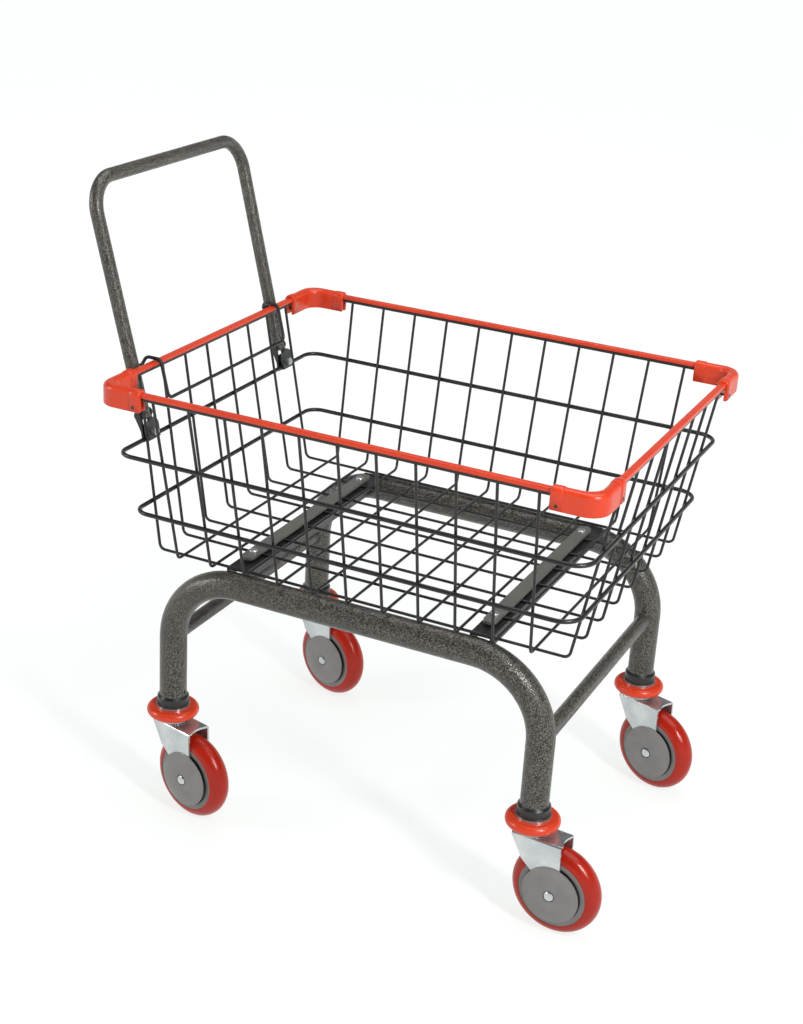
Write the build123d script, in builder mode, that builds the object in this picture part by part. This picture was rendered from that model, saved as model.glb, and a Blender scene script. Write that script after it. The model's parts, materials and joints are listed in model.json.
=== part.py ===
"""Shopping cart: a wire basket on two bent side tubes, with four swivel casters and a fold-down handle.

Millimetres. +Z is up, +X points to the front (away from the handle) and -Y is the pusher's right.
The origin is on the floor, at the middle of the cart's overall footprint.
"""
import os
from math import atan, cos, hypot, radians, sin

from build123d import *

os.makedirs("parts", exist_ok=True)

# ---------------------------------------------------------------- driving dimensions
FIT = 0.02                   # gap left between pieces that touch
RUNNING_CLEARANCE = 0.06     # radial, on everything that turns
WHEELBASE_X = 25.75          # middle of the wheelbase, ahead of the origin because the handle leans back

# Under-frame
LEG_X = 273.5
FRAME_Y = 210.0
FRAME_TUBE_R = 19.0
FRAME_WALL = 2.0
FRAME_TOP_Z = 366.0
FRAME_BEND_R = 100.0
LEG_END_Z = 176.0
TIE_Z = 265.4
TIE_R = 10.5
TIE_WALL = 1.5
SMALL_HOLE_R = 2.5
LEG_HOLE_Z = 181.5
DRAIN_HOLE_Y = 7.0
DRAIN_HOLE_Z = 263.0
SOCKET_R = 22.0
SOCKET_BOTTOM_Z = 161.0
SOCKET_TOP_Z = 200.0
SOCKET_CHAMFER = 1.0

# Basket
FLOOR_Z = 390.0              # level at which the wall lines below are given
FLOOR_HALF_X = 298.0
FLOOR_HALF_Y = 227.6
END_WALL_SLOPE = 0.170
SIDE_WALL_SLOPE = 0.200
WIRE_R = 2.0
HOOP_R = 3.0
RIM_WIRE_R = 3.5
RIM_WIRE_Z = 630.0
WALL_BEND_R = 9.0
TRANSVERSE_COUNT = 11
TRANSVERSE_PITCH = 51.0
TRANSVERSE_FAN = 0.032 / 200
FLOOR_WIRE_DROP = 0.1        # axis of the lengthwise wires below FLOOR_Z
LONGITUDINAL_COUNT = 8
LONGITUDINAL_PITCH = 58.8
LONGITUDINAL_FAN = -0.043 / 200
UPPER_HOOP_Z = 540.0
LOWER_HOOP_Z = 455.7
FRONT_HOOP_CORNER_R = 28.0
REAR_HOOP_CORNER_R = 21.0
RIM_CORNER_R = 20.0

# Rim strips and corner bumpers
STRIP_WIDTH = 10.0
STRIP_TOP_Z = 637.5
STRIP_OUTER_LIP = 6.2
STRIP_INNER_LIP = 5.3
STRIP_EDGE_R = 2.2
BUMPER_X = 347.0
BUMPER_Y = 284.0
BUMPER_BOTTOM_Z = 612.0
BUMPER_TOP_Z = 640.5
BUMPER_WIDTH = 15.5
BUMPER_CORNER_R = 27.0
BUMPER_CROWN_R = 6.5
BUMPER_EDGE_R = 1.5
BUMPER_END_X = 280.0
BUMPER_END_Y = 210.0
BUMPER_SCREW_INSET = 9.0
BUMPER_SCREW_Z = 618.5
BUMPER_SCREW_R = 1.4
BUMPER_SCREW_HEAD = (2.1, 0.6)       # radius, height

# Rails and straps that clamp the basket floor
RAIL_X = 178.5
RAIL_WIDTH = 30.0
RAIL_HEIGHT = 15.0
RAIL_WALL = 2.5
RAIL_HALF_LENGTH = 204.0
STRAP_SHIFT = -1.5           # strap and screws behind the rail's centre line
STRAP_WIDTH = 18.5
STRAP_THICKNESS = 4.0
STRAP_HALF_LENGTH = 180.0
STRAP_SCREW_Y = 157.0
STRAP_SCREW_R = 3.0
STRAP_SCREW_HEAD = (5.8, 3.2)
STRAP_SCREW_DOME_R = 1.9
STRAP_NUT = (5.8, 5.0)
SCREW_TAIL = 2.0             # thread left beyond a nut

# Handle, its brackets and its bail
HANDLE_R = 9.25
HANDLE_WALL = 1.5
HANDLE_BEND_R = 45.0
HANDLE_TOP = (-421.0, 185.0, 873.0)
HANDLE_PIVOT = (-341.2, 182.2, 569.0)
HANDLE_TAIL = 6.0            # tube left below the pivot
PIN_R = 3.0
PIN_HEAD = (5.0, 1.5)        # radius, height
BRACKET_WALL = 3.0
BRACKET_WIDTH = 27.0         # heights and depths of the brackets are measured from the upper hoop
BRACKET_FOOT = -5.5
BRACKET_CORNER = 4.0
BRACKET_WEB_TOP = 18.0
BRACKET_EAR_R = 6.5
BRACKET_EAR_GAP = 19.3
BRACKET_EAR_WAIST = (-9.0, 16.0)
BRACKET_EAR_FOOT_TOP = 6.0
CLAMP_PLATE_FOOT = -3.0
CLAMP_PLATE_TOP = 26.5
CLAMP_PLATE_THICKNESS = 3.0
BRACKET_BOLT_RISE = 7.2
BRACKET_BOLT_R = 3.0
BRACKET_BOLT_HEAD = (5.5, 2.5)
BRACKET_BOLT_DOME_R = 1.5
BRACKET_NUT = (5.8, 4.5)
BAIL_R = 2.4
BAIL_PIVOT = (-357.0, 172.9, 630.0)
BAIL_OVER_RIM_Z = 640.6
BAIL_ROUTE = (
    BAIL_PIVOT,
    (BAIL_PIVOT[0], 161.0, BAIL_PIVOT[2]),
    (-353.0, 157.0, BAIL_OVER_RIM_Z),
    (-330.2, 157.0, BAIL_OVER_RIM_Z),
    (-317.0, 157.0, 588.5),
)
BAIL_BENDS = (4.0, 7.0, 6.0, 9.0)

# Casters: name, leg, and heading of the trail from +X in degrees
CASTERS = (
    ("rear_right", -1, -1, -13.8),
    ("front_right", 1, -1, -4.4),
    ("front_left", 1, 1, -17.7),
    ("rear_left", -1, 1, -16.5),
)
STEM_R = 6.0
STEM_HEAD_R = 9.5
STEM_HEAD_Z = (124.0, 133.2)
RACE_R = 24.0
RACE_CROWN_R = 18.0
RACE_Z = (136.8, 144.0)
RACE_CHAMFER = 1.5
RING_BUMPER_R = 36.5
RING_BUMPER_Z = (144.0, 158.0)
WASHER_R = 24.0
FORK_HALF_WIDTH = 20.0
FORK_WALL = 3.0
FORK_TOP_Z = 136.5
FORK_EDGE_R = 4.0
FORK_BOSS_R = 13.0
FORK_BOSS_REAR = (-10.4, -7.8)        # where the cheek's lower edge meets the boss, from the axle
FORK_BACK = -19.0            # along the trail, from the swivel axis
FORK_FRONT = 51.5
FORK_CHEEK = ((52.5, 102.0), (13.0, 88.0), (-2.0, 101.0))
FORK_SCALLOP_R = 30.0
FORK_SCALLOP_DEPTH = 3.0
TRAIL = 43.0
WHEEL_R = 62.5
TYRE_HALF_WIDTH = 16.5
CORE_R = 47.5
CORE_HALF_WIDTH = 16.0
CORE_RIM = 7.0
CORE_WEB = 8.0
CORE_HUB_R = 18.5
CORE_BORE_R = 8.0
AXLE_R = 4.0
AXLE_HEAD_R = 6.8
AXLE_HEAD_TOP = 26.4
AXLE_HEAD_CHAMFER = 1.2
AXLE_NUT = (7.5, 5.0)
SLEEVE_R = 6.0
BEARING_R = 14.0
BEARING_WIDTH = 8.0
COVER_R = 39.8
COVER_TOP = 25.0
COVER_DISH = 0.9             # fall of the cover's face at its shoulder
COVER_SHOULDER_R = 29.0
COVER_LIP = 1.5
COVER_RECESS_R = 8.0
COVER_RECESS = 22.4


# ---------------------------------------------------------------- planes and wall lines
def level_plane(z):
    """Horizontal plane with its origin at the wheelbase's centre line; local axes are the cart's."""
    return Plane(origin=(WHEELBASE_X, 0, z))


def side_plane(y):
    """Upright plane along the cart; local x is the cart's X and local y its height."""
    return Plane(origin=(WHEELBASE_X, y, 0), x_dir=(1, 0, 0), z_dir=(0, -1, 0))


def end_plane(x):
    """Upright plane across the cart, facing forward; local x is the cart's Y and local y its height."""
    return Plane(origin=(WHEELBASE_X + x, 0, 0), x_dir=(0, 1, 0), z_dir=(1, 0, 0))


def end_wall(z):
    """Half length of the basket between its end wall lines at height z."""
    return FLOOR_HALF_X + END_WALL_SLOPE * (z - FLOOR_Z)


def side_wall(z):
    """Half width of the basket between its side wall lines at height z."""
    return FLOOR_HALF_Y + SIDE_WALL_SLOPE * (z - FLOOR_Z)


def hoop_half_x(z):
    """Half length of a hoop that goes round the wires at height z."""
    return end_wall(z) + (WIRE_R + HOOP_R + FIT) / cos(atan(END_WALL_SLOPE))


def hoop_half_y(z):
    """Half width of a hoop that goes round the wires at height z."""
    return side_wall(z) + (WIRE_R + HOOP_R + FIT) / cos(atan(SIDE_WALL_SLOPE))


def rear_wall_plane(y):
    """Upright plane through the upper hoop's rear run; local x points inward, local y up the wall."""
    lean = atan(END_WALL_SLOPE)
    hoop = (WHEELBASE_X - hoop_half_x(UPPER_HOOP_Z), y, UPPER_HOOP_Z)
    return Plane(origin=hoop, x_dir=(cos(lean), 0, sin(lean)), z_dir=(0, -1, 0))


def rear_wall_face(depth):
    """Plane parallel to the rear wall, depth inward of the upper hoop; local x is Y, local y up the wall."""
    across = rear_wall_plane(0)
    return Plane(origin=across.from_local_coords((depth, 0, 0)), x_dir=(0, 1, 0), z_dir=across.x_dir)


def wire_places(count, pitch, fan, z):
    """Evenly spaced wire positions at height z, fanning out with height."""
    return [(k - (count - 1) / 2) * pitch * (1 + fan * (z - FLOOR_Z)) for k in range(count)]


def hoop_path(half_x, half_y, front_r, rear_r):
    """Closed rounded rectangle around the basket, in the plane of the line builder that calls it."""
    FilletPolyline(
        (-half_x, -half_y),
        (half_x, -half_y),
        (half_x, half_y),
        (-half_x, half_y),
        radius=(rear_r, front_r, front_r, rear_r),
        close=True,
    )


# ---------------------------------------------------------------- under-frame
def side_frame_path(side):
    """Centre line of one bent side tube."""
    with BuildLine(side_plane(side * FRAME_Y)) as path:
        FilletPolyline(
            (-LEG_X, LEG_END_Z),
            (-LEG_X, FRAME_TOP_Z),
            (LEG_X, FRAME_TOP_Z),
            (LEG_X, LEG_END_Z),
            radius=FRAME_BEND_R,
        )
    return path.line


longitudinal_z = FLOOR_Z - FLOOR_WIRE_DROP
rail_top = longitudinal_z - WIRE_R - FIT
side_tube_envelopes = []
for name, side in (("right", -1), ("left", 1)):
    frame_path = side_frame_path(side)
    with BuildPart() as side_frame:
        with BuildSketch(level_plane(LEG_END_Z)) as tube_section:
            with Locations((-LEG_X, side * FRAME_Y)):
                Circle(FRAME_TUBE_R)
                Circle(FRAME_TUBE_R - FRAME_WALL, mode=Mode.SUBTRACT)
        sweep(path=frame_path)
        with BuildSketch(end_plane(0)) as leg_holes:
            with Locations((side * FRAME_Y, LEG_HOLE_Z)):
                Circle(SMALL_HOLE_R)
        extrude(amount=LEG_X, both=True, mode=Mode.SUBTRACT)
    side_frame.part.label = f"{name}_side_frame"
    export_step(side_frame.part, f"parts/{name}_side_frame.step")

    with BuildPart() as envelope:
        with BuildSketch(level_plane(LEG_END_Z)):
            with Locations((-LEG_X, side * FRAME_Y)):
                Circle(FRAME_TUBE_R + FIT)
        sweep(path=frame_path)
    side_tube_envelopes.append(envelope.part)

for name, end in (("front", 1), ("rear", -1)):
    strap_x = end * RAIL_X + STRAP_SHIFT
    with BuildPart() as tie_tube:
        with BuildSketch(side_plane(0)):
            with Locations((end * LEG_X, TIE_Z)):
                Circle(TIE_R)
                Circle(TIE_R - TIE_WALL, mode=Mode.SUBTRACT)
        extrude(amount=FRAME_Y, both=True)
        add(side_tube_envelopes, mode=Mode.SUBTRACT)
        if end > 0:
            with BuildSketch(end_plane(LEG_X)):
                with Locations((DRAIN_HOLE_Y, DRAIN_HOLE_Z)):
                    Circle(SMALL_HOLE_R)
            extrude(amount=TIE_R * 2, mode=Mode.SUBTRACT)
    tie_tube.part.label = f"{name}_tie_tube"
    export_step(tie_tube.part, f"parts/{name}_tie_tube.step")

    with BuildPart() as support_rail:
        with BuildSketch(side_plane(0)):
            with Locations((end * RAIL_X, rail_top)):
                Rectangle(RAIL_WIDTH, RAIL_HEIGHT, align=(Align.CENTER, Align.MAX))
                with Locations((0, -RAIL_WALL)):
                    Rectangle(
                        RAIL_WIDTH - 2 * RAIL_WALL,
                        RAIL_HEIGHT - RAIL_WALL,
                        align=(Align.CENTER, Align.MAX),
                        mode=Mode.SUBTRACT,
                    )
        extrude(amount=RAIL_HALF_LENGTH, both=True)
        add(side_tube_envelopes, mode=Mode.SUBTRACT)
        with BuildSketch(level_plane(rail_top)):
            with Locations((strap_x, -STRAP_SCREW_Y), (strap_x, STRAP_SCREW_Y)):
                Circle(STRAP_SCREW_R + FIT)
        extrude(amount=-RAIL_HEIGHT, mode=Mode.SUBTRACT)
    support_rail.part.label = f"{name}_support_rail"
    export_step(support_rail.part, f"parts/{name}_support_rail.step")

with BuildPart() as leg_sockets:
    for _, end, side, _ in CASTERS:
        with BuildSketch(side_plane(side * FRAME_Y)):
            with Locations((end * LEG_X, 0)):
                Polygon(
                    (STEM_R + FIT, SOCKET_BOTTOM_Z),
                    (SOCKET_R - SOCKET_CHAMFER, SOCKET_BOTTOM_Z),
                    (SOCKET_R, SOCKET_BOTTOM_Z + SOCKET_CHAMFER),
                    (SOCKET_R, LEG_END_Z - (SOCKET_R - FRAME_TUBE_R)),
                    (FRAME_TUBE_R, LEG_END_Z),
                    (FRAME_TUBE_R - FRAME_WALL - FIT, LEG_END_Z),
                    (FRAME_TUBE_R - FRAME_WALL - FIT, SOCKET_TOP_Z),
                    (STEM_R + FIT, SOCKET_TOP_Z),
                    align=None,
                )
        leg_axis = Axis((WHEELBASE_X + end * LEG_X, side * FRAME_Y, 0), (0, 0, 1))
        revolve(axis=leg_axis)
leg_sockets.part.label = "leg_sockets"
export_step(leg_sockets.part, "parts/leg_sockets.step")

# ---------------------------------------------------------------- basket wires
transverse_z = longitudinal_z + 2 * WIRE_R + FIT
wire_end_z = RIM_WIRE_Z - RIM_WIRE_R - FIT

with BuildPart() as transverse_wires:
    floor_places = wire_places(TRANSVERSE_COUNT, TRANSVERSE_PITCH, TRANSVERSE_FAN, transverse_z)
    rim_places = wire_places(TRANSVERSE_COUNT, TRANSVERSE_PITCH, TRANSVERSE_FAN, wire_end_z)
    for floor_x, rim_x in zip(floor_places, rim_places):
        with BuildLine(level_plane(0)) as path:
            FilletPolyline(
                (rim_x, -side_wall(wire_end_z), wire_end_z),
                (floor_x, -side_wall(transverse_z), transverse_z),
                (floor_x, side_wall(transverse_z), transverse_z),
                (rim_x, side_wall(wire_end_z), wire_end_z),
                radius=WALL_BEND_R,
            )
        with BuildSketch(Plane(origin=path.line @ 0, z_dir=path.line % 0)):
            Circle(WIRE_R)
        sweep()
transverse_wires.part.label = "transverse_wires"
export_step(transverse_wires.part, "parts/transverse_wires.step")

with BuildPart() as longitudinal_wires:
    floor_places = wire_places(LONGITUDINAL_COUNT, LONGITUDINAL_PITCH, LONGITUDINAL_FAN, longitudinal_z)
    rim_places = wire_places(LONGITUDINAL_COUNT, LONGITUDINAL_PITCH, LONGITUDINAL_FAN, wire_end_z)
    for floor_y, rim_y in zip(floor_places, rim_places):
        with BuildLine(level_plane(0)) as path:
            FilletPolyline(
                (-end_wall(wire_end_z), rim_y, wire_end_z),
                (-end_wall(longitudinal_z), floor_y, longitudinal_z),
                (end_wall(longitudinal_z), floor_y, longitudinal_z),
                (end_wall(wire_end_z), rim_y, wire_end_z),
                radius=WALL_BEND_R,
            )
        with BuildSketch(Plane(origin=path.line @ 0, z_dir=path.line % 0)):
            Circle(WIRE_R)
        sweep()
longitudinal_wires.part.label = "longitudinal_wires"
export_step(longitudinal_wires.part, "parts/longitudinal_wires.step")

for name, hoop_z in (("upper_hoop", UPPER_HOOP_Z), ("lower_hoop", LOWER_HOOP_Z)):
    with BuildPart() as hoop:
        with BuildLine(level_plane(hoop_z)) as path:
            hoop_path(
                hoop_half_x(hoop_z),
                hoop_half_y(hoop_z),
                FRONT_HOOP_CORNER_R,
                REAR_HOOP_CORNER_R,
            )
        with BuildSketch(Plane(origin=path.line @ 0, z_dir=path.line % 0)):
            Circle(HOOP_R)
        sweep()
    hoop.part.label = name
    export_step(hoop.part, f"parts/{name}.step")

with BuildPart() as rim_wire:
    with BuildLine(level_plane(RIM_WIRE_Z)) as path:
        hoop_path(end_wall(RIM_WIRE_Z), side_wall(RIM_WIRE_Z), RIM_CORNER_R, RIM_CORNER_R)
    with BuildSketch(Plane(origin=path.line @ 0, z_dir=path.line % 0)):
        Circle(RIM_WIRE_R)
    sweep()
rim_wire.part.label = "rim_wire"
export_step(rim_wire.part, "parts/rim_wire.step")


# ---------------------------------------------------------------- rim strips
def strip_section(wall_line, outward):
    """C section over the rim wire, with its deeper lip outside; drawn in an upright plane."""
    with Locations((wall_line, STRIP_TOP_Z)):
        strip = Rectangle(STRIP_WIDTH, STRIP_OUTER_LIP, align=(Align.CENTER, Align.MAX))
    fillet(strip.vertices().group_by(Axis.Z)[-1], STRIP_EDGE_R)
    with Locations((wall_line, RIM_WIRE_Z)):
        Circle(RIM_WIRE_R + FIT, mode=Mode.SUBTRACT)
        Rectangle(
            2 * (RIM_WIRE_R + FIT),
            STRIP_OUTER_LIP,
            align=(Align.CENTER, Align.MAX),
            mode=Mode.SUBTRACT,
        )
    with Locations((wall_line - outward * STRIP_WIDTH / 2, STRIP_TOP_Z - STRIP_INNER_LIP)):
        Rectangle(STRIP_WIDTH, STRIP_WIDTH, align=(Align.CENTER, Align.MAX), mode=Mode.SUBTRACT)


for name, outward in (("right", -1), ("left", 1)):
    with BuildPart() as side_strip:
        with BuildSketch(end_plane(0)):
            strip_section(outward * side_wall(RIM_WIRE_Z), outward)
        extrude(amount=BUMPER_END_X - FIT, both=True)
    side_strip.part.label = f"{name}_rim_strip"
    export_step(side_strip.part, f"parts/{name}_rim_strip.step")

for name, outward in (("front", 1), ("rear", -1)):
    with BuildPart() as end_strip:
        with BuildSketch(side_plane(0)):
            strip_section(outward * end_wall(RIM_WIRE_Z), outward)
        extrude(amount=BUMPER_END_Y - FIT, both=True)
    end_strip.part.label = f"{name}_rim_strip"
    export_step(end_strip.part, f"parts/{name}_rim_strip.step")

# ---------------------------------------------------------------- corner bumpers and their screws
slot_half = RIM_WIRE_R + FIT
screw_x = BUMPER_END_X + BUMPER_SCREW_INSET
screw_y = BUMPER_END_Y + BUMPER_SCREW_INSET
for name, end, side, _ in CASTERS:
    with BuildPart() as corner_bumper:
        with BuildSketch(level_plane(BUMPER_BOTTOM_Z)):
            RectangleRounded(2 * BUMPER_X, 2 * BUMPER_Y, BUMPER_CORNER_R)
            RectangleRounded(
                2 * (BUMPER_X - BUMPER_WIDTH),
                2 * (BUMPER_Y - BUMPER_WIDTH),
                BUMPER_CORNER_R - BUMPER_WIDTH / 2,
                mode=Mode.SUBTRACT,
            )
            with Locations(((BUMPER_END_X + BUMPER_X) / 2 * end, (BUMPER_END_Y + BUMPER_Y) / 2 * side)):
                Rectangle(BUMPER_X - BUMPER_END_X, BUMPER_Y - BUMPER_END_Y, mode=Mode.INTERSECT)
        extrude(amount=BUMPER_TOP_Z - BUMPER_BOTTOM_Z)
        crown = corner_bumper.faces().sort_by(Axis.Z)[-1]
        fillet(crown.edges().sort_by(SortBy.LENGTH)[2:], BUMPER_CROWN_R)
        arm_ends = [
            corner_bumper.faces().filter_by(Axis.X).sort_by(Axis.X)[0 if end > 0 else -1],
            corner_bumper.faces().filter_by(Axis.Y).sort_by(Axis.Y)[0 if side > 0 else -1],
        ]
        underside = corner_bumper.faces().sort_by(Axis.Z)[0]
        fillet(ShapeList([*arm_ends[0].edges(), *arm_ends[1].edges(), *underside.edges()]), BUMPER_EDGE_R)
        with BuildSketch(level_plane(BUMPER_BOTTOM_Z)):
            RectangleRounded(
                2 * (end_wall(RIM_WIRE_Z) + slot_half),
                2 * (side_wall(RIM_WIRE_Z) + slot_half),
                RIM_CORNER_R + slot_half,
            )
            RectangleRounded(
                2 * (end_wall(RIM_WIRE_Z) - slot_half),
                2 * (side_wall(RIM_WIRE_Z) - slot_half),
                RIM_CORNER_R - slot_half,
                mode=Mode.SUBTRACT,
            )
        extrude(amount=RIM_WIRE_Z + slot_half - BUMPER_BOTTOM_Z, mode=Mode.SUBTRACT)
        with BuildSketch(side_plane(0)):
            with Locations((end * screw_x, BUMPER_SCREW_Z)):
                Circle(BUMPER_SCREW_R + FIT)
        extrude(amount=-side * BUMPER_Y, mode=Mode.SUBTRACT)
        with BuildSketch(end_plane(0)):
            with Locations((side * screw_y, BUMPER_SCREW_Z)):
                Circle(BUMPER_SCREW_R + FIT)
        extrude(amount=end * BUMPER_X, mode=Mode.SUBTRACT)
    corner_bumper.part.label = f"{name}_corner_bumper"
    export_step(corner_bumper.part, f"parts/{name}_corner_bumper.step")

screw_head_r, screw_head_height = BUMPER_SCREW_HEAD
with BuildPart() as bumper_screws:
    for _, end, side, _ in CASTERS:
        with BuildSketch(side_plane(side * (BUMPER_Y - BUMPER_WIDTH))):
            with Locations((end * screw_x, BUMPER_SCREW_Z)):
                Circle(BUMPER_SCREW_R)
        extrude(amount=-side * BUMPER_WIDTH)
        with BuildSketch(side_plane(side * BUMPER_Y)):
            with Locations((end * screw_x, BUMPER_SCREW_Z)):
                Circle(screw_head_r)
        extrude(amount=-side * screw_head_height)
        with BuildSketch(end_plane(end * (BUMPER_X - BUMPER_WIDTH))):
            with Locations((side * screw_y, BUMPER_SCREW_Z)):
                Circle(BUMPER_SCREW_R)
        extrude(amount=end * BUMPER_WIDTH)
        with BuildSketch(end_plane(end * BUMPER_X)):
            with Locations((side * screw_y, BUMPER_SCREW_Z)):
                Circle(screw_head_r)
        extrude(amount=end * screw_head_height)
bumper_screws.part.label = "bumper_screws"
export_step(bumper_screws.part, "parts/bumper_screws.step")

# ---------------------------------------------------------------- straps that clamp the basket floor
strap_bottom = longitudinal_z + WIRE_R + FIT
strap_top = strap_bottom + STRAP_THICKNESS
for name, end in (("front", 1), ("rear", -1)):
    strap_x = end * RAIL_X + STRAP_SHIFT
    with BuildPart() as clamp_strap:
        with BuildSketch(level_plane(strap_bottom)):
            with Locations((strap_x, 0)):
                SlotOverall(2 * STRAP_HALF_LENGTH, STRAP_WIDTH, rotation=90)
            with Locations((strap_x, -STRAP_SCREW_Y), (strap_x, STRAP_SCREW_Y)):
                Circle(STRAP_SCREW_R + FIT, mode=Mode.SUBTRACT)
        extrude(amount=STRAP_THICKNESS)
    clamp_strap.part.label = f"{name}_clamp_strap"
    export_step(clamp_strap.part, f"parts/{name}_clamp_strap.step")

strap_head_r, strap_head_height = STRAP_SCREW_HEAD
strap_nut_r, strap_nut_height = STRAP_NUT
rail_underside = rail_top - RAIL_WALL
strap_screw_places = [
    (end * RAIL_X + STRAP_SHIFT, side * STRAP_SCREW_Y) for end in (-1, 1) for side in (-1, 1)
]
with BuildPart() as strap_bolts:
    with BuildSketch(level_plane(strap_top)):
        with Locations(*strap_screw_places):
            Circle(strap_head_r)
    extrude(amount=strap_head_height)
    fillet(strap_bolts.faces().group_by(Axis.Z)[-1].edges(), STRAP_SCREW_DOME_R)
    with BuildSketch(level_plane(strap_top)):
        with Locations(*strap_screw_places):
            Circle(STRAP_SCREW_R)
    extrude(amount=rail_underside - strap_nut_height - SCREW_TAIL - strap_top)
    with BuildSketch(level_plane(rail_underside - FIT)):
        with Locations(*strap_screw_places):
            RegularPolygon(strap_nut_r, 6)
            Circle(STRAP_SCREW_R + FIT, mode=Mode.SUBTRACT)
    extrude(amount=-strap_nut_height)
strap_bolts.part.label = "strap_bolts"
export_step(strap_bolts.part, "parts/strap_bolts.step")

# ---------------------------------------------------------------- push handle and its brackets
pivot_x, pivot_y, pivot_z = HANDLE_PIVOT
rise = [top - pivot for top, pivot in zip(HANDLE_TOP, HANDLE_PIVOT)]
tail_share = HANDLE_TAIL / hypot(*rise)
foot = [pivot - tail_share * step for pivot, step in zip(HANDLE_PIVOT, rise)]
with BuildPart() as push_handle:
    with BuildLine(level_plane(0)) as path:
        FilletPolyline(
            (foot[0], -foot[1], foot[2]),
            (HANDLE_TOP[0], -HANDLE_TOP[1], HANDLE_TOP[2]),
            HANDLE_TOP,
            tuple(foot),
            radius=HANDLE_BEND_R,
        )
    with BuildSketch(Plane(origin=path.line @ 0, z_dir=path.line % 0)):
        Circle(HANDLE_R)
        Circle(HANDLE_R - HANDLE_WALL, mode=Mode.SUBTRACT)
    sweep()
    with BuildSketch(side_plane(0)):
        with Locations((pivot_x, pivot_z)):
            Circle(PIN_R + RUNNING_CLEARANCE)
    extrude(amount=FRAME_Y, both=True, mode=Mode.SUBTRACT)
push_handle.part.label = "push_handle"
export_step(push_handle.part, "parts/push_handle.step")

hoop_face = HOOP_R + FIT
web_back = -hoop_face - BRACKET_WALL
plate_face = hoop_face + CLAMP_PLATE_THICKNESS
ear_half = BRACKET_EAR_GAP / 2 + BRACKET_WALL
pivot_point = rear_wall_plane(0).to_local_coords(Vector(WHEELBASE_X + pivot_x, 0, pivot_z))
with BuildPart() as handle_brackets:
    for side in (-1, 1):
        with BuildSketch(rear_wall_plane(side * pivot_y)):
            Polygon(
                (-hoop_face, BRACKET_FOOT),
                (-hoop_face, pivot_point.Y),
                (pivot_point.X - BRACKET_EAR_R, pivot_point.Y),
                BRACKET_EAR_WAIST,
                (web_back, BRACKET_EAR_FOOT_TOP),
                (web_back, BRACKET_FOOT),
                align=None,
            )
            with Locations((pivot_point.X, pivot_point.Y)):
                Circle(BRACKET_EAR_R)
                Circle(PIN_R, mode=Mode.SUBTRACT)
        extrude(amount=ear_half, both=True)
        with BuildSketch(rear_wall_plane(side * pivot_y)):
            with Locations((pivot_point.X, BRACKET_WEB_TOP)):
                Rectangle(BRACKET_WIDTH, 2 * BRACKET_WIDTH, align=(Align.CENTER, Align.MIN))
            with Locations((web_back, BRACKET_FOOT)):
                Rectangle(BRACKET_WIDTH, 2 * BRACKET_WIDTH, align=(Align.MAX, Align.MIN))
        extrude(amount=BRACKET_EAR_GAP / 2, both=True, mode=Mode.SUBTRACT)
        with BuildSketch(rear_wall_face(-hoop_face)):
            with Locations((side * pivot_y, 0)):
                Polygon(
                    (-BRACKET_WIDTH / 2, BRACKET_WEB_TOP),
                    (-BRACKET_WIDTH / 2, BRACKET_FOOT + BRACKET_CORNER),
                    (-BRACKET_WIDTH / 2 + BRACKET_CORNER, BRACKET_FOOT),
                    (BRACKET_WIDTH / 2 - BRACKET_CORNER, BRACKET_FOOT),
                    (BRACKET_WIDTH / 2, BRACKET_FOOT + BRACKET_CORNER),
                    (BRACKET_WIDTH / 2, BRACKET_WEB_TOP),
                    align=None,
                )
        extrude(amount=-BRACKET_WALL)
        with BuildSketch(rear_wall_face(-hoop_face)):
            with Locations((side * pivot_y, BRACKET_BOLT_RISE)):
                Circle(BRACKET_BOLT_R + FIT)
        extrude(amount=-BRACKET_WALL, mode=Mode.SUBTRACT)
handle_brackets.part.label = "handle_brackets"
export_step(handle_brackets.part, "parts/handle_brackets.step")

plate_crown_r = BRACKET_WIDTH / 2
plate_crown_rise = CLAMP_PLATE_TOP - plate_crown_r
with BuildPart() as bracket_clamp_plates:
    with BuildSketch(rear_wall_face(hoop_face)):
        for side in (-1, 1):
            with Locations((side * pivot_y, CLAMP_PLATE_FOOT)):
                Rectangle(
                    BRACKET_WIDTH,
                    plate_crown_rise - CLAMP_PLATE_FOOT,
                    align=(Align.CENTER, Align.MIN),
                )
            with Locations((side * pivot_y, plate_crown_rise)):
                Circle(plate_crown_r)
            with Locations((side * pivot_y, BRACKET_BOLT_RISE)):
                Circle(BRACKET_BOLT_R + FIT, mode=Mode.SUBTRACT)
    extrude(amount=CLAMP_PLATE_THICKNESS)
bracket_clamp_plates.part.label = "bracket_clamp_plates"
export_step(bracket_clamp_plates.part, "parts/bracket_clamp_plates.step")

bracket_head_r, bracket_head_height = BRACKET_BOLT_HEAD
bracket_nut_r, bracket_nut_height = BRACKET_NUT
bolt_places = [(side * pivot_y, BRACKET_BOLT_RISE) for side in (-1, 1)]
with BuildPart() as bracket_bolts:
    with BuildSketch(rear_wall_face(web_back)):
        with Locations(*bolt_places):
            Circle(bracket_head_r)
    extrude(amount=-bracket_head_height)
    fillet(bracket_bolts.faces().group_by(Axis.X)[0].edges(), BRACKET_BOLT_DOME_R)
    with BuildSketch(rear_wall_face(web_back)):
        with Locations(*bolt_places):
            Circle(BRACKET_BOLT_R)
    extrude(amount=plate_face + bracket_nut_height + SCREW_TAIL - web_back)
    with BuildSketch(rear_wall_face(plate_face + FIT)):
        with Locations(*bolt_places):
            RegularPolygon(bracket_nut_r, 6)
            Circle(BRACKET_BOLT_R + FIT, mode=Mode.SUBTRACT)
    extrude(amount=bracket_nut_height)
bracket_bolts.part.label = "bracket_bolts"
export_step(bracket_bolts.part, "parts/bracket_bolts.step")

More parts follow.
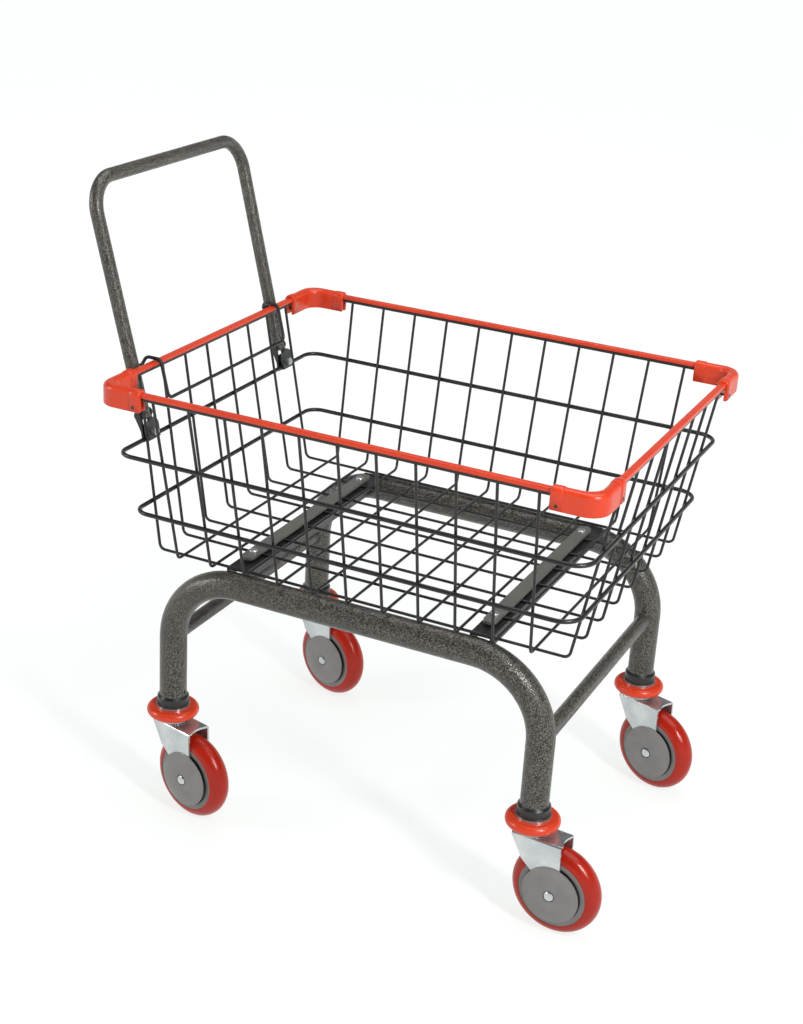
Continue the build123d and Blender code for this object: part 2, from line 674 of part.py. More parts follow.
pin_head_r, pin_head_height = PIN_HEAD
with BuildPart() as pivot_pins:
    for side in (-1, 1):
        with BuildSketch(side_plane(side * pivot_y)):
            with Locations((pivot_x, pivot_z)):
                Circle(PIN_R)
        extrude(amount=ear_half + pin_head_height, both=True)
        for face in (-1, 1):
            with BuildSketch(side_plane(side * pivot_y - face * ear_half)):
                with Locations((pivot_x, pivot_z)):
                    Circle(pin_head_r)
            extrude(amount=face * pin_head_height)
pivot_pins.part.label = "pivot_pins"
export_step(pivot_pins.part, "parts/pivot_pins.step")

with BuildPart() as handle_bail:
    with BuildLine(level_plane(0)) as path:
        FilletPolyline(
            *[(x, -y, z) for x, y, z in BAIL_ROUTE],
            *reversed(BAIL_ROUTE),
            radius=(*BAIL_BENDS, *reversed(BAIL_BENDS)),
        )
    with BuildSketch(Plane(origin=path.line @ 0, z_dir=path.line % 0)):
        Circle(BAIL_R)
    sweep()
handle_bail.part.label = "handle_bail"
export_step(handle_bail.part, "parts/handle_bail.step")


# ---------------------------------------------------------------- casters
def leg_point(end, side, z):
    """Point on a leg's axis at height z."""
    return (WHEELBASE_X + end * LEG_X, side * FRAME_Y, z)


def heading_vectors(heading):
    """Unit vectors along a caster's trail and along its axle, the axle one pointing to the pusher's right."""
    trail = (cos(radians(heading)), sin(radians(heading)), 0)
    axle = (sin(radians(heading)), -cos(radians(heading)), 0)
    return trail, axle


def wheel_centre(end, side, heading):
    """Middle of a caster's wheel."""
    trail, _ = heading_vectors(heading)
    x, y, _ = leg_point(end, side, 0)
    return (x + TRAIL * trail[0], y + TRAIL * trail[1], WHEEL_R)


def caster_side_plane(end, side, heading):
    """Upright plane through a caster's swivel axis; local x runs along the trail, local y is height."""
    trail, axle = heading_vectors(heading)
    return Plane(origin=leg_point(end, side, 0), x_dir=trail, z_dir=axle)


def wheel_section_plane(end, side, heading):
    """Upright plane through the axle; local x runs along the axle, local y out along the radius."""
    trail, axle = heading_vectors(heading)
    return Plane(origin=wheel_centre(end, side, heading), x_dir=axle, z_dir=tuple(-part for part in trail))


def axle_axis(end, side, heading):
    """A caster's wheel axis."""
    _, axle = heading_vectors(heading)
    return Axis(wheel_centre(end, side, heading), axle)


with BuildPart() as caster_stems:
    for _, end, side, _ in CASTERS:
        with BuildSketch(side_plane(side * FRAME_Y)):
            with Locations((end * LEG_X, 0)):
                Polygon(
                    (0, STEM_HEAD_Z[0]),
                    (STEM_HEAD_R, STEM_HEAD_Z[0]),
                    (STEM_HEAD_R, STEM_HEAD_Z[1]),
                    (STEM_R, STEM_HEAD_Z[1]),
                    (STEM_R, RACE_Z[0]),
                    (RACE_R - RACE_CHAMFER, RACE_Z[0]),
                    (RACE_R, RACE_Z[0] + RACE_CHAMFER),
                    (RACE_R - RACE_CHAMFER, RACE_Z[1] - RACE_CHAMFER),
                    (RACE_CROWN_R, RACE_Z[1]),
                    (STEM_R, RACE_Z[1]),
                    (STEM_R, SOCKET_TOP_Z),
                    (0, SOCKET_TOP_Z),
                    align=None,
                )
        revolve(axis=Axis(leg_point(end, side, 0), (0, 0, 1)))
caster_stems.part.label = "caster_stems"
export_step(caster_stems.part, "parts/caster_stems.step")

with BuildPart() as caster_washers:
    with BuildSketch(level_plane(RING_BUMPER_Z[1])):
        with Locations(*[(end * LEG_X, side * FRAME_Y) for _, end, side, _ in CASTERS]):
            Circle(WASHER_R)
            Circle(STEM_R + FIT, mode=Mode.SUBTRACT)
    extrude(amount=SOCKET_BOTTOM_Z - RING_BUMPER_Z[1])
caster_washers.part.label = "caster_washers"
export_step(caster_washers.part, "parts/caster_washers.step")

ring_half = (RING_BUMPER_Z[1] - RING_BUMPER_Z[0]) / 2
ring_middle = (RING_BUMPER_Z[1] + RING_BUMPER_Z[0]) / 2
fork_inner_half = FORK_HALF_WIDTH - FORK_WALL
cover_inside = FORK_HALF_WIDTH + FIT
cheek_front, cheek_rear, cheek_throat = FORK_CHEEK
axle_nut_r, axle_nut_height = AXLE_NUT
for name, end, side, heading in CASTERS:
    caster = (end, side, heading)
    with BuildPart() as ring_bumper:
        with BuildSketch(side_plane(side * FRAME_Y)):
            with Locations((end * LEG_X, ring_middle)):
                with Locations((RING_BUMPER_R - ring_half, 0)):
                    Circle(ring_half)
                Rectangle(RING_BUMPER_R - ring_half, 2 * ring_half, align=(Align.MIN, Align.CENTER))
                Rectangle(
                    STEM_R + FIT,
                    2 * ring_half,
                    align=(Align.MIN, Align.CENTER),
                    mode=Mode.SUBTRACT,
                )
        revolve(axis=Axis(leg_point(end, side, 0), (0, 0, 1)))
    ring_bumper.part.label = f"{name}_ring_bumper"
    export_step(ring_bumper.part, f"parts/{name}_ring_bumper.step")

    with BuildPart() as fork:
        with BuildSketch(caster_side_plane(*caster)):
            Polygon(
                (FORK_BACK, FORK_TOP_Z),
                (FORK_FRONT, FORK_TOP_Z),
                cheek_front,
                (TRAIL + FORK_BOSS_R, WHEEL_R),
                (TRAIL + FORK_BOSS_REAR[0], WHEEL_R + FORK_BOSS_REAR[1]),
                cheek_rear,
                cheek_throat,
                (FORK_BACK, FORK_TOP_Z - FORK_EDGE_R),
                align=None,
            )
            with Locations((TRAIL, WHEEL_R)):
                Circle(FORK_BOSS_R)
        extrude(amount=FORK_HALF_WIDTH, both=True)
        top_edges = fork.faces().sort_by(Axis.Z)[-1].edges().sort_by(SortBy.LENGTH)[-2:]
        fillet(top_edges, FORK_EDGE_R)
        with BuildSketch(caster_side_plane(*caster)):
            with Locations((TRAIL, FORK_TOP_Z - FORK_WALL)):
                Rectangle(3 * WHEEL_R, 2 * WHEEL_R, align=(Align.CENTER, Align.MAX))
        extrude(amount=fork_inner_half, both=True, mode=Mode.SUBTRACT)
        with BuildSketch(caster_side_plane(*caster)):
            with Locations((TRAIL, WHEEL_R)):
                Circle(AXLE_R + FIT)
        extrude(amount=FORK_HALF_WIDTH, both=True, mode=Mode.SUBTRACT)
        stem_plane = Plane(origin=leg_point(end, side, FORK_TOP_Z), x_dir=heading_vectors(heading)[0])
        with BuildSketch(stem_plane):
            Circle(STEM_R + RUNNING_CLEARANCE)
            with Locations((FORK_FRONT - FORK_SCALLOP_DEPTH + FORK_SCALLOP_R, 0)):
                Circle(FORK_SCALLOP_R)
        extrude(amount=-FORK_WALL, mode=Mode.SUBTRACT)
    fork.part.label = f"{name}_fork"
    export_step(fork.part, f"parts/{name}_fork.step")

    with BuildPart() as axle:
        with BuildSketch(wheel_section_plane(*caster)):
            with BuildLine():
                Polyline(
                    (-COVER_RECESS - axle_nut_height - SCREW_TAIL, 0),
                    (-COVER_RECESS - axle_nut_height - SCREW_TAIL, AXLE_R),
                    (COVER_RECESS, AXLE_R),
                    (COVER_RECESS, AXLE_HEAD_R),
                    (AXLE_HEAD_TOP - AXLE_HEAD_CHAMFER, AXLE_HEAD_R),
                    (AXLE_HEAD_TOP, AXLE_HEAD_R - AXLE_HEAD_CHAMFER),
                    (AXLE_HEAD_TOP, 0),
                    close=True,
                )
            make_face()
            with Locations((0, AXLE_R + FIT)):
                Rectangle(
                    2 * fork_inner_half - 2 * FIT,
                    SLEEVE_R - AXLE_R - FIT,
                    align=(Align.CENTER, Align.MIN),
                )
        revolve(axis=axle_axis(*caster))
        with BuildSketch(caster_side_plane(*caster).offset(-COVER_RECESS)):
            with Locations((TRAIL, WHEEL_R)):
                RegularPolygon(axle_nut_r, 6)
                Circle(AXLE_R + FIT, mode=Mode.SUBTRACT)
        extrude(amount=-axle_nut_height)
    axle.part.label = f"{name}_axle"
    export_step(axle.part, f"parts/{name}_axle.step")

    with BuildPart() as wheel_covers:
        with BuildSketch(wheel_section_plane(*caster)):
            with BuildLine():
                Polyline(
                    (cover_inside, COVER_R),
                    (cover_inside, AXLE_R + FIT),
                    (COVER_RECESS, AXLE_R + FIT),
                    (COVER_RECESS, COVER_RECESS_R),
                    (COVER_TOP, COVER_RECESS_R),
                )
                ThreePointArc(
                    (COVER_TOP, COVER_RECESS_R),
                    (COVER_TOP - COVER_DISH, COVER_SHOULDER_R),
                    (cover_inside + COVER_LIP, COVER_R),
                )
                Line((cover_inside + COVER_LIP, COVER_R), (cover_inside, COVER_R))
            make_face()
        revolve(axis=axle_axis(*caster))
        mirror(about=caster_side_plane(*caster))
    wheel_covers.part.label = f"{name}_wheel_covers"
    export_step(wheel_covers.part, f"parts/{name}_wheel_covers.step")

    with BuildPart() as wheel_core:
        with BuildSketch(wheel_section_plane(*caster)):
            Rectangle(2 * CORE_HALF_WIDTH, CORE_HUB_R, align=(Align.CENTER, Align.MIN))
            Rectangle(CORE_WEB, CORE_R, align=(Align.CENTER, Align.MIN))
            with Locations((0, CORE_R)):
                Rectangle(2 * CORE_HALF_WIDTH, CORE_RIM, align=(Align.CENTER, Align.MAX))
            Rectangle(2 * CORE_HALF_WIDTH, CORE_BORE_R, align=(Align.CENTER, Align.MIN), mode=Mode.SUBTRACT)
            for face in (Align.MIN, Align.MAX):
                with Locations((CORE_HALF_WIDTH * (1 if face == Align.MAX else -1), 0)):
                    Rectangle(BEARING_WIDTH, BEARING_R, align=(face, Align.MIN), mode=Mode.SUBTRACT)
        revolve(axis=axle_axis(*caster))
    wheel_core.part.label = f"{name}_wheel_core"
    export_step(wheel_core.part, f"parts/{name}_wheel_core.step")

    with BuildPart() as bearings:
        with BuildSketch(wheel_section_plane(*caster)):
            for face in (-1, 1):
                with Locations((face * (CORE_HALF_WIDTH - BEARING_WIDTH / 2), SLEEVE_R + RUNNING_CLEARANCE)):
                    Rectangle(
                        BEARING_WIDTH - 2 * FIT,
                        BEARING_R - FIT - SLEEVE_R - RUNNING_CLEARANCE,
                        align=(Align.CENTER, Align.MIN),
                    )
        revolve(axis=axle_axis(*caster))
    bearings.part.label = f"{name}_bearings"
    export_step(bearings.part, f"parts/{name}_bearings.step")

    with BuildPart() as tyre:
        with BuildSketch(wheel_section_plane(*caster)):
            with Locations((0, WHEEL_R - TYRE_HALF_WIDTH)):
                Circle(TYRE_HALF_WIDTH)
            Rectangle(4 * TYRE_HALF_WIDTH, 2 * (CORE_R + FIT), mode=Mode.SUBTRACT)
        revolve(axis=axle_axis(*caster))
    tyre.part.label = f"{name}_tyre"
    export_step(tyre.part, f"parts/{name}_tyre.step")
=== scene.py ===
"""Looks of the shopping cart: materials, fine detail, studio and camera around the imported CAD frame."""
import json
from math import cos, pi, radians, sin

import bmesh
import bpy
from mathutils import Matrix, Vector


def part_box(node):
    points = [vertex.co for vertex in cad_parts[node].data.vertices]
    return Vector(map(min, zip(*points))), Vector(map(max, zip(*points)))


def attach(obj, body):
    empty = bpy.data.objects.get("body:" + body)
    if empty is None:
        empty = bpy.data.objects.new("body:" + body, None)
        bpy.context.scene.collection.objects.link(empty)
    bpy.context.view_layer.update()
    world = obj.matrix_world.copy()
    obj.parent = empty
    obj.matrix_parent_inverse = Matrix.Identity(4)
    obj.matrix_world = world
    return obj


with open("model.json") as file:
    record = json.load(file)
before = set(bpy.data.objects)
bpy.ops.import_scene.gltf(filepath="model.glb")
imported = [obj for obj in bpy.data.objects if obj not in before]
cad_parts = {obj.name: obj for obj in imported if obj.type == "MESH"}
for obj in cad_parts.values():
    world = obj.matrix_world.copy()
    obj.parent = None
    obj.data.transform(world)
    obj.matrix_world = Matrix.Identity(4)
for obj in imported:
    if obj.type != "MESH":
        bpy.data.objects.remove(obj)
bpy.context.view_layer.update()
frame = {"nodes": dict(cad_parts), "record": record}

MM = 0.001
NODES = frame["nodes"]
SLOT_OF_NODE = {entry["node"]: entry["material_slot"] for entry in frame["record"]["subparts"]}


# ---------------------------------------------------------------- materials
class Shader:
    """A Principled material with short ways to add noise, colour ramps and bump, in object coordinates."""

    def __init__(self, name, **sockets):
        self.material = bpy.data.materials.new(name)
        self.material.use_nodes = True
        self.tree = self.material.node_tree
        self.shader = self.tree.nodes["Principled BSDF"]
        for socket, value in sockets.items():
            self.shader.inputs[socket.replace("_", " ")].default_value = value
        self.place = self.tree.nodes.new("ShaderNodeTexCoord").outputs["Object"]

    def noise(self, size, detail=2.0, roughness=0.5, stretch=(1, 1, 1)):
        """Noise whose features are about size metres across."""
        texture = self.tree.nodes.new("ShaderNodeTexNoise")
        texture.inputs["Scale"].default_value = 1 / size
        texture.inputs["Detail"].default_value = detail
        texture.inputs["Roughness"].default_value = roughness
        self.tree.links.new(self.stretched(stretch), texture.inputs["Vector"])
        return texture.outputs["Fac"]

    def cells(self, size, feature="F1", randomness=1.0):
        """Distance field of cells about size metres across."""
        texture = self.tree.nodes.new("ShaderNodeTexVoronoi")
        texture.feature = feature
        texture.inputs["Scale"].default_value = 1 / size
        texture.inputs["Randomness"].default_value = randomness
        self.tree.links.new(self.place, texture.inputs["Vector"])
        return texture.outputs["Distance"]

    def stretched(self, stretch):
        """Object coordinates scaled by axis."""
        if tuple(stretch) == (1, 1, 1):
            return self.place
        mapping = self.tree.nodes.new("ShaderNodeMapping")
        mapping.inputs["Scale"].default_value = stretch
        self.tree.links.new(self.place, mapping.inputs["Vector"])
        return mapping.outputs["Vector"]

    def ramp(self, value, *stops):
        """Colour or grey stops over value: (position, grey or rgb)."""
        node = self.tree.nodes.new("ShaderNodeValToRGB")
        elements = node.color_ramp.elements
        while len(elements) < len(stops):
            elements.new(0.5)
        for element, (position, colour) in zip(elements, stops):
            rgb = colour if hasattr(colour, "__len__") else (colour, colour, colour)
            element.position = position
            element.color = (*rgb, 1)
        self.tree.links.new(value, node.inputs["Fac"])
        return node.outputs["Color"]

    def mix(self, share, first, second, blend="MIX"):
        """Colour mix; share, first and second are sockets or values."""
        node = self.tree.nodes.new("ShaderNodeMix")
        node.data_type = "RGBA"
        node.blend_type = blend
        for socket, value in ((node.inputs[0], share), (node.inputs[6], first), (node.inputs[7], second)):
            if isinstance(value, bpy.types.NodeSocket):
                self.tree.links.new(value, socket)
            elif hasattr(value, "__len__"):
                socket.default_value = (*value, 1)
            else:
                socket.default_value = value
        return node.outputs[2]

    def colour(self, socket):
        self.tree.links.new(socket, self.shader.inputs["Base Color"])

    def roughness(self, socket):
        self.tree.links.new(socket, self.shader.inputs["Roughness"])

    def bump(self, height, depth, strength=1.0):
        """Bump depth metres high; calls chain."""
        node = self.tree.nodes.new("ShaderNodeBump")
        node.inputs["Strength"].default_value = strength
        node.inputs["Distance"].default_value = depth
        self.tree.links.new(height, node.inputs["Height"])
        before = self.shader.inputs["Normal"].links
        if before:
            self.tree.links.new(before[0].from_socket, node.inputs["Normal"])
        self.tree.links.new(node.outputs["Normal"], self.shader.inputs["Normal"])


def hammered_paint():
    """Hammered enamel: glossy dark bronze-grey, peppered with fine dark dimples."""
    s = Shader("frame_paint", Metallic=0.2, Roughness=0.32, Specular_IOR_Level=0.5)
    dimples = s.mix(0.55, s.cells(0.0017, "SMOOTH_F1"), s.noise(0.0012, detail=2.0, roughness=0.6))
    pit, slope, crown = (0.004, 0.0035, 0.003), (0.038, 0.035, 0.030), (0.135, 0.125, 0.108)
    tint = s.ramp(dimples, (0.40, pit), (0.455, slope), (0.53, crown))
    patches = s.ramp(s.noise(0.06, detail=1.0), (0.3, (0.86, 0.86, 0.88)), (0.7, (1.0, 0.98, 0.95)))
    s.colour(s.mix(1.0, tint, patches, "MULTIPLY"))
    s.roughness(s.ramp(dimples, (0.40, 0.42), (0.52, 0.17)))
    s.bump(dimples, 0.0008, 0.7)
    return s.material


def coated_wire():
    """Satin black coating with slight thickness waves and dull spots."""
    s = Shader("wire_coat", Roughness=0.3, Specular_IOR_Level=0.38)
    s.colour(s.ramp(s.noise(0.03), (0.3, (0.0085, 0.0085, 0.0085)), (0.7, (0.016, 0.016, 0.0158))))
    s.roughness(s.ramp(s.noise(0.012, detail=3.0), (0.35, 0.24), (0.7, 0.38)))
    s.bump(s.noise(0.004), 0.0003, 0.25)
    return s.material


def satin_black():
    """Powder-coated steel with an orange-peel surface."""
    s = Shader("black_paint", Roughness=0.3, Specular_IOR_Level=0.45)
    s.colour(s.ramp(s.noise(0.02), (0.3, (0.009, 0.009, 0.0095)), (0.7, (0.018, 0.018, 0.019))))
    s.roughness(s.ramp(s.noise(0.008, detail=3.0), (0.3, 0.24), (0.7, 0.38)))
    s.bump(s.noise(0.0015), 0.0003, 0.35)
    return s.material


def strap_paint():
    """Dull olive-grey painted steel, rubbed lighter along scuffs."""
    s = Shader("strap_paint", Metallic=0.2, Roughness=0.42)
    scuffs = s.ramp(s.noise(0.01, detail=6.0, roughness=0.7, stretch=(4, 0.4, 1)), (0.58, 0.0), (0.78, 1.0))
    s.colour(s.mix(scuffs, (0.104, 0.106, 0.092), (0.185, 0.185, 0.165)))
    s.roughness(s.ramp(s.noise(0.01, detail=3.0), (0.3, 0.34), (0.7, 0.5)))
    s.bump(s.noise(0.0015), 0.0002, 0.3)
    return s.material


def glossy_red():
    """Injection-moulded orange-red plastic with a soft gloss and faint flow marks."""
    s = Shader("red_plastic", Roughness=0.3, Specular_IOR_Level=0.42)
    s.colour(s.ramp(s.noise(0.09, detail=1.0), (0.3, (0.53, 0.033, 0.0065)), (0.7, (0.58, 0.041, 0.0090))))
    s.roughness(s.ramp(s.noise(0.02, detail=2.0), (0.3, 0.26), (0.7, 0.36)))
    s.bump(s.noise(0.003, detail=1.0), 0.0001, 0.2)
    return s.material


def red_tyre():
    """Cast red polyurethane, deeper in colour, with faint dust on the tread."""
    s = Shader("red_tyre", Roughness=0.2, Specular_IOR_Level=0.3)
    s.colour(s.ramp(s.noise(0.05, detail=1.0), (0.3, (0.30, 0.0105, 0.0030)), (0.7, (0.35, 0.0135, 0.0042))))
    s.roughness(s.ramp(s.noise(0.014, detail=3.0), (0.35, 0.18), (0.7, 0.30)))
    s.bump(s.noise(0.004, detail=1.0), 0.00012, 0.15)
    return s.material


def grey_plastic():
    """Taupe-grey moulded polypropylene with a fine satin texture."""
    s = Shader("grey_plastic", Roughness=0.34)
    s.colour(s.ramp(s.noise(0.02, detail=2.0), (0.3, (0.160, 0.152, 0.145)), (0.7, (0.188, 0.179, 0.171))))
    s.roughness(s.ramp(s.noise(0.006, detail=4.0), (0.3, 0.28), (0.7, 0.40)))
    s.bump(s.noise(0.0008), 0.00010, 0.3)
    return s.material


def zinc_plate():
    """Bright zinc plate with soft cloudy passivation."""
    s = Shader("zinc_plate", Metallic=0.86, Roughness=0.26)
    clouds = s.noise(0.03, detail=2.0, roughness=0.5)
    dull, middle, bright = (0.46, 0.49, 0.505), (0.56, 0.585, 0.595), (0.64, 0.655, 0.65)
    s.colour(s.ramp(clouds, (0.3, dull), (0.55, middle), (0.75, bright)))
    s.roughness(s.ramp(s.noise(0.012, detail=3.0), (0.3, 0.20), (0.75, 0.32)))
    s.bump(s.noise(0.0012, detail=1.0), 0.00004, 0.25)
    return s.material


def bearing_steel():
    """Ground steel."""
    s = Shader("bearing_steel", Metallic=1.0, Roughness=0.22)
    s.colour(s.ramp(s.noise(0.006), (0.3, (0.42, 0.42, 0.43)), (0.7, (0.56, 0.56, 0.57))))
    s.bump(s.noise(0.0005, detail=1.0), 0.00005, 0.3)
    return s.material


GLOW_REACH = 4.0               # distance in metres that the floor's glow is stretched over


def studio_floor():
    """White sweep paper that glows out to the horizon, and a little less under the cart."""
    s = Shader("studio_floor", Roughness=0.95, Specular_IOR_Level=0.05)
    s.colour(s.ramp(s.noise(0.4), (0.3, (0.19, 0.195, 0.19)), (0.7, (0.21, 0.215, 0.21))))
    s.shader.inputs["Emission Color"].default_value = (0.975, 1.0, 0.985, 1)
    distance = s.tree.nodes.new("ShaderNodeVectorMath")
    distance.operation = "LENGTH"
    s.tree.links.new(s.stretched((1 / GLOW_REACH, 1 / GLOW_REACH, 1 / GLOW_REACH)), distance.inputs[0])
    glow = s.ramp(distance.outputs["Value"], (0.08, 0.80), (0.75, 0.965))
    s.tree.links.new(glow, s.shader.inputs["Emission Strength"])
    return s.material


MATERIALS = {
    "frame_paint": hammered_paint(),
    "wire_coat": coated_wire(),
    "black_paint": satin_black(),
    "strap_paint": strap_paint(),
    "red_plastic": glossy_red(),
    "red_tyre": red_tyre(),
    "grey_plastic": grey_plastic(),
    "zinc_plate": zinc_plate(),
    "bearing_steel": bearing_steel(),
}
for node, obj in NODES.items():
    obj.data.materials.clear()
    obj.data.materials.append(MATERIALS[SLOT_OF_NODE[node]])

# ---------------------------------------------------------------- fine detail
CORNERS = (("rear_right", -1, -1), ("front_right", 1, -1), ("front_left", 1, 1), ("rear_left", -1, 1))
ARM_WIDTH = 15.5 * MM
ARM_CROWN_R = 6.5 * MM
BAND_LENGTH = 14.5 * MM
BAND_RISE = 0.9 * MM
BAND_EDGE = 1.2 * MM
BAND_INSET = 0.8 * MM          # from the end of the arm
BAND_FOOT_GAP = 1.5 * MM       # from the arm's underside
SCREW_FROM_END = 9.0 * MM
SCREW_FROM_BOTTOM = 6.5 * MM
SCREW_R = 2.2 * MM
SCREW_DOME = 0.7 * MM
CROWN_STEPS = 8


def mesh_piece(name, bm, material):
    """Turn bm into a smooth object with one material."""
    bmesh.ops.recalc_face_normals(bm, faces=bm.faces)
    mesh = bpy.data.meshes.new(name)
    bm.to_mesh(mesh)
    bm.free()
    mesh.polygons.foreach_set("use_smooth", [True] * len(mesh.polygons))
    mesh.materials.append(material)
    piece = bpy.data.objects.new(name, mesh)
    bpy.context.scene.collection.objects.link(piece)
    return piece


def loft(bm, rings):
    """Skin between closed rings of points, capped at both ends."""
    rows = [[bm.verts.new(point) for point in ring] for ring in rings]
    for row, following in zip(rows, rows[1:]):
        for k in range(len(row)):
            bm.faces.new((row[k - 1], row[k], following[k], following[k - 1]))
    bm.faces.new(rows[0])
    bm.faces.new(reversed(rows[-1]))


def arm_outline(rise, bottom, top):
    """Hoop over a bumper arm's section, raised by rise: (across, height) pairs from one foot to the other."""
    half = ARM_WIDTH / 2
    turns = [pi / 2 * k / CROWN_STEPS for k in range(CROWN_STEPS + 1)]
    radius = ARM_CROWN_R + rise
    one_side = [(half - ARM_CROWN_R + radius * cos(t), top - ARM_CROWN_R + radius * sin(t)) for t in turns]
    other_side = [(-across, height) for across, height in reversed(one_side)]
    return [(half + rise, bottom), *one_side, *other_side, (-half - rise, bottom)]


def band_rings(bottom, top):
    """Rings of one raised band: (distance from the arm's end, [(across, height), ...])."""
    inner = arm_outline(-BAND_EDGE, bottom, top)
    places = (
        (0.0, 0.0),
        (0.3 * BAND_EDGE, 0.7 * BAND_RISE),
        (BAND_EDGE, BAND_RISE),
        (BAND_LENGTH - BAND_EDGE, BAND_RISE),
        (BAND_LENGTH - 0.3 * BAND_EDGE, 0.7 * BAND_RISE),
        (BAND_LENGTH, 0.0),
    )
    return [(BAND_INSET + s, [*arm_outline(rise, bottom, top), *reversed(inner)]) for s, rise in places]


bands = bmesh.new()
screws = bmesh.new()
for name, end, side in CORNERS:
    low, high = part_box(f"{name}_corner_bumper")
    outer_x = high[0] if end > 0 else low[0]
    outer_y = high[1] if side > 0 else low[1]
    inner_x = low[0] if end > 0 else high[0]
    inner_y = low[1] if side > 0 else high[1]
    mid_x = outer_x - end * ARM_WIDTH / 2
    mid_y = outer_y - side * ARM_WIDTH / 2
    rings = band_rings(low[2] + BAND_FOOT_GAP, high[2])
    loft(bands, [[(inner_x + end * s, mid_y + across, z) for across, z in ring] for s, ring in rings])
    loft(bands, [[(mid_x + across, inner_y + side * s, z) for across, z in ring] for s, ring in rings])
    screw_z = low[2] + SCREW_FROM_BOTTOM
    on_long_arm = Vector((inner_x + end * SCREW_FROM_END, outer_y + side * BAND_RISE, screw_z))
    on_short_arm = Vector((outer_x + end * BAND_RISE, inner_y + side * SCREW_FROM_END, screw_z))
    for place, outward in ((on_long_arm, Vector((0, side, 0))), (on_short_arm, Vector((end, 0, 0)))):
        turned = outward.to_track_quat("Z", "Y").to_matrix().to_4x4()
        dome = Matrix.Translation(place) @ turned @ Matrix.Diagonal((SCREW_R, SCREW_R, SCREW_DOME, 1))
        bmesh.ops.create_uvsphere(screws, u_segments=20, v_segments=12, radius=1, matrix=dome)
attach(mesh_piece("bumper_bands", bands, MATERIALS["red_plastic"]), "cart_frame")
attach(mesh_piece("band_screws", screws, MATERIALS["black_paint"]), "cart_frame")

BEAD_R = 1.5 * MM
BEAD_POINTS = 72
BEAD_RIPPLE = 0.18
BEAD_RIPPLE_TURN = 2.1         # radians of ripple from one point to the next


def weld_bead(name, points):
    """Rippled bead of weld round a closed line of points."""
    curve = bpy.data.curves.new(name, "CURVE")
    curve.dimensions = "3D"
    curve.bevel_depth = BEAD_R
    curve.bevel_resolution = 3
    spline = curve.splines.new("POLY")
    spline.points.add(len(points) - 1)
    for k, (vertex, place) in enumerate(zip(spline.points, points)):
        vertex.co = (*place, 1)
        vertex.radius = 1 + BEAD_RIPPLE * sin(BEAD_RIPPLE_TURN * k)
    spline.use_cyclic_u = True
    curve.materials.append(MATERIALS["frame_paint"])
    bead = bpy.data.objects.new(name, curve)
    bpy.context.scene.collection.objects.link(bead)
    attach(bead, "cart_frame")


for end_name in ("front", "rear"):
    low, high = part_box(f"{end_name}_tie_tube")
    tube_x = (low[0] + high[0]) / 2
    tube_z = (low[2] + high[2]) / 2
    tube_r = (high[2] - low[2]) / 2
    for side_name, side in (("right", -1), ("left", 1)):
        frame_low, frame_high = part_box(f"{side_name}_side_frame")
        leg_y = (frame_low[1] + frame_high[1]) / 2
        leg_r = (frame_high[1] - frame_low[1]) / 2
        bead_path = []
        for k in range(BEAD_POINTS):
            turn = 2 * pi * k / BEAD_POINTS
            across = tube_r * cos(turn)
            face_y = leg_y - side * (leg_r ** 2 - across ** 2) ** 0.5
            bead_path.append((tube_x + across, face_y, tube_z + tube_r * sin(turn)))
        weld_bead(f"{end_name}_{side_name}_weld", bead_path)

# ---------------------------------------------------------------- floor, lights and camera
ring_boxes = [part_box(f"{name}_ring_bumper") for name, end, side in CORNERS]
wheelbase_x = sum((low[0] + high[0]) / 2 for low, high in ring_boxes) / len(ring_boxes)

FLOOR_HALF_WIDTH = 12.0
floor_grid = bmesh.new()
bmesh.ops.create_grid(floor_grid, x_segments=2, y_segments=2, size=FLOOR_HALF_WIDTH)
floor_mesh = bpy.data.meshes.new("floor")
floor_grid.to_mesh(floor_mesh)
floor_grid.free()
floor = bpy.data.objects.new("floor", floor_mesh)
floor.data.materials.append(studio_floor())
bpy.context.scene.collection.objects.link(floor)

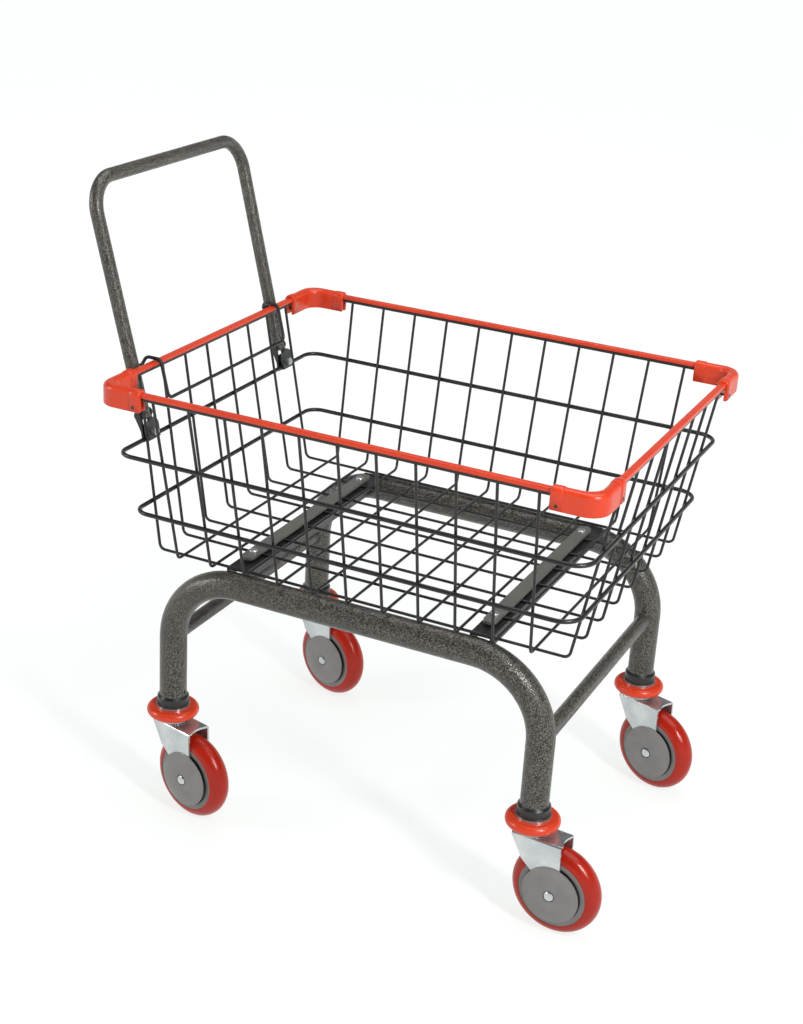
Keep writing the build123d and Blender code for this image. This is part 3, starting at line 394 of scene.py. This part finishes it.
world = bpy.data.worlds.new("studio")
world.use_nodes = True
sky = world.node_tree
direction = sky.nodes.new("ShaderNodeTexCoord").outputs["Generated"]
heights = sky.nodes.new("ShaderNodeSeparateXYZ")
sky.links.new(direction, heights.inputs[0])
room = sky.nodes.new("ShaderNodeValToRGB")
room.color_ramp.interpolation = "EASE"
room.color_ramp.elements[0].position = 0.08
room.color_ramp.elements[0].color = (0.98, 1.0, 0.99, 1)
room.color_ramp.elements[1].position = 0.42
room.color_ramp.elements[1].color = (0.10, 0.10, 0.105, 1)
sky.links.new(heights.outputs["Z"], room.inputs["Fac"])
sky.links.new(room.outputs["Color"], sky.nodes["Background"].inputs["Color"])
bpy.context.scene.world = world


def softbox(name, place, aim, size, power):
    """Rectangular area light at place, turned to aim."""
    light = bpy.data.lights.new(name, "AREA")
    light.shape = "RECTANGLE"
    light.size, light.size_y = size
    light.energy = power
    lamp = bpy.data.objects.new(name, light)
    lamp.location = place
    lamp.rotation_euler = (Vector(aim) - Vector(place)).to_track_quat("-Z", "Y").to_euler()
    bpy.context.scene.collection.objects.link(lamp)


softbox("overhead", (0.2, 0.4, 3.0), (0.0, 0.0, 0.3), (3.0, 2.0), 52)
softbox("key_right", (2.3, -1.3, 2.2), (0.0, 0.0, 0.4), (0.3, 1.3), 84)
softbox("fill_left", (-2.6, -1.6, 1.6), (0.0, 0.0, 0.4), (0.5, 1.4), 36)

CAMERA_PLACE = (902.06, -2040.93, 1387.94)     # mm from the middle of the wheelbase, on the floor
CAMERA_YAW = radians(24.665)
CAMERA_PITCH = radians(23.047)
CAMERA_ROLL = radians(3.478)
FOCAL_SHARE = 1751.5 / 1024                    # focal length over the frame's long side
SENSOR_MM = 36.0
camera_data = bpy.data.cameras.new("camera")
camera_data.sensor_fit = "VERTICAL"
camera_data.sensor_height = SENSOR_MM
camera_data.lens = SENSOR_MM * FOCAL_SHARE
back = Vector((sin(CAMERA_YAW) * cos(CAMERA_PITCH), -cos(CAMERA_YAW) * cos(CAMERA_PITCH), sin(CAMERA_PITCH)))
level_right = (-back).cross(Vector((0, 0, 1))).normalized()
level_up = level_right.cross(-back)
right = level_right * cos(CAMERA_ROLL) + level_up * sin(CAMERA_ROLL)
up = level_up * cos(CAMERA_ROLL) - level_right * sin(CAMERA_ROLL)
camera = bpy.data.objects.new("camera", camera_data)
axes = Matrix((right, up, back)).transposed().to_4x4()
spot = Vector(CAMERA_PLACE) * MM + Vector((wheelbase_x, 0, 0))
camera.matrix_world = Matrix.Translation(spot) @ axes
bpy.context.scene.collection.objects.link(camera)
bpy.context.scene.camera = camera
bpy.context.scene.view_settings.view_transform = "Standard"
